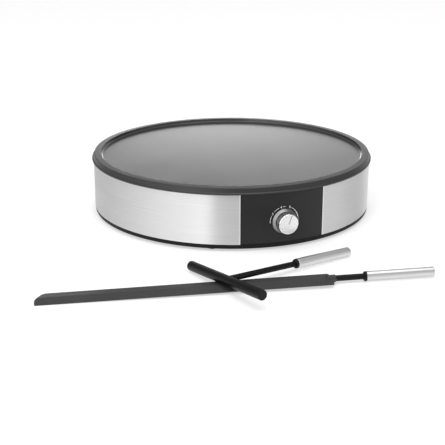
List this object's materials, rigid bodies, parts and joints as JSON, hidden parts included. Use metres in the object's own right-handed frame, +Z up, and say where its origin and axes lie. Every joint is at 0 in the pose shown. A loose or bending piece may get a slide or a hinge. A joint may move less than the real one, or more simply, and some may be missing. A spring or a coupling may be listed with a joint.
{
  "type": "electric crepe maker",
  "caption": "Round electric crepe griddle with a raised rim on a steel drum, a thermostat knob on a dark front panel, a T-shaped batter spreader and a long spatula.",
  "frame": {"origin": "middle of the whole set's footprint, on the surface it stands on", "axes": "+Z up; the control panel faces -Y; +X to the right seen from the front"},
  "size_m": [0.4565, 0.4879, 0.0724],
  "materials": {
    "cast_plate": "die-cast aluminium with a dark satin non-stick coating",
    "satin_steel": "satin stainless sheet",
    "turned_aluminium": "turned and anodised, bright satin",
    "panel_plastic": "fine-textured dark plastic",
    "pointer_black": "black paint in a groove",
    "dial_print": "white print of the dial's scale",
    "base_plastic": "fine-textured black plastic",
    "foot_rubber": "matt black rubber",
    "tool_nylon": "dark moulded nylon",
    "handle_steel": "polished stainless tube",
    "zinc_steel": "zinc-plated steel",
    "phenolic": "moulded phenolic",
    "ceramic_bead": "glazed white ceramic",
    "brass": "plain brass and copper",
    "brown_insulation": "silicone insulation",
    "black_insulation": "silicone insulation",
    "blue_insulation": "silicone insulation",
    "green_insulation": "silicone insulation"
  },
  "bodies": {
    "appliance": {"griddle_plate": "cast_plate", "heating_element": "zinc_steel", "element_beads": "ceramic_bead", "element_tabs": "zinc_steel", "heat_shield": "zinc_steel", "shield_pillars": "zinc_steel", "steel_band": "satin_steel", "control_panel": "panel_plastic", "dial_ring": "turned_aluminium", "base_tray": "base_plastic", "foot_front_left": "foot_rubber", "foot_front_right": "foot_rubber", "foot_rear_left": "foot_rubber", "foot_rear_right": "foot_rubber", "tie_screws": "zinc_steel", "panel_screws": "zinc_steel", "thermostat_body": "phenolic", "thermostat_bush": "brass", "thermostat_bracket": "zinc_steel", "thermostat_screws": "zinc_steel", "bracket_screws": "zinc_steel", "sensor_bulb": "brass", "bulb_clip": "zinc_steel", "bulb_clip_screws": "zinc_steel", "capillary_tube": "brass", "thermal_fuse": "ceramic_bead", "fuse_clip": "zinc_steel", "fuse_clip_screw": "zinc_steel", "terminal_block": "ceramic_bead", "block_screw": "zinc_steel", "earth_tag": "brass", "earth_screw": "zinc_steel", "live_wire": "brown_insulation", "switched_wire": "black_insulation", "neutral_wire": "blue_insulation", "fuse_wire": "blue_insulation", "earth_wire": "green_insulation", "cord_gland": "base_plastic", "gland_nut": "base_plastic"},
    "knob": {"thermostat_spindle": "brass", "knob_core": "panel_plastic", "knob_clip": "satin_steel", "knob_cap": "turned_aluminium", "knob_pointer": "pointer_black"},
    "spatula": {"spatula_blade": "tool_nylon", "spatula_rod": "tool_nylon", "spatula_collar": "tool_nylon", "spatula_handle": "handle_steel", "spatula_plug": "handle_steel"},
    "spreader": {"spreader_bar": "tool_nylon", "spreader_rod": "tool_nylon", "spreader_collar": "tool_nylon", "spreader_handle": "handle_steel", "spreader_plug": "handle_steel"}
  },
  "joints": [
    {"name": "knob_turn", "type": "hinge", "parent": "appliance", "child": "knob", "pos_m": [0.05835, -0.08808, 0.032], "axis": [0, 1, 0], "range_deg": [0, 325]},
    {"name": "spatula_lift", "type": "slide", "parent": "appliance", "child": "spatula", "axis": [0, 0, 1], "range_m": [0, 0.15]},
    {"name": "spreader_lift", "type": "slide", "parent": "spatula", "child": "spreader", "axis": [0, 0, 1], "range_m": [0, 0.12]}
  ]
}
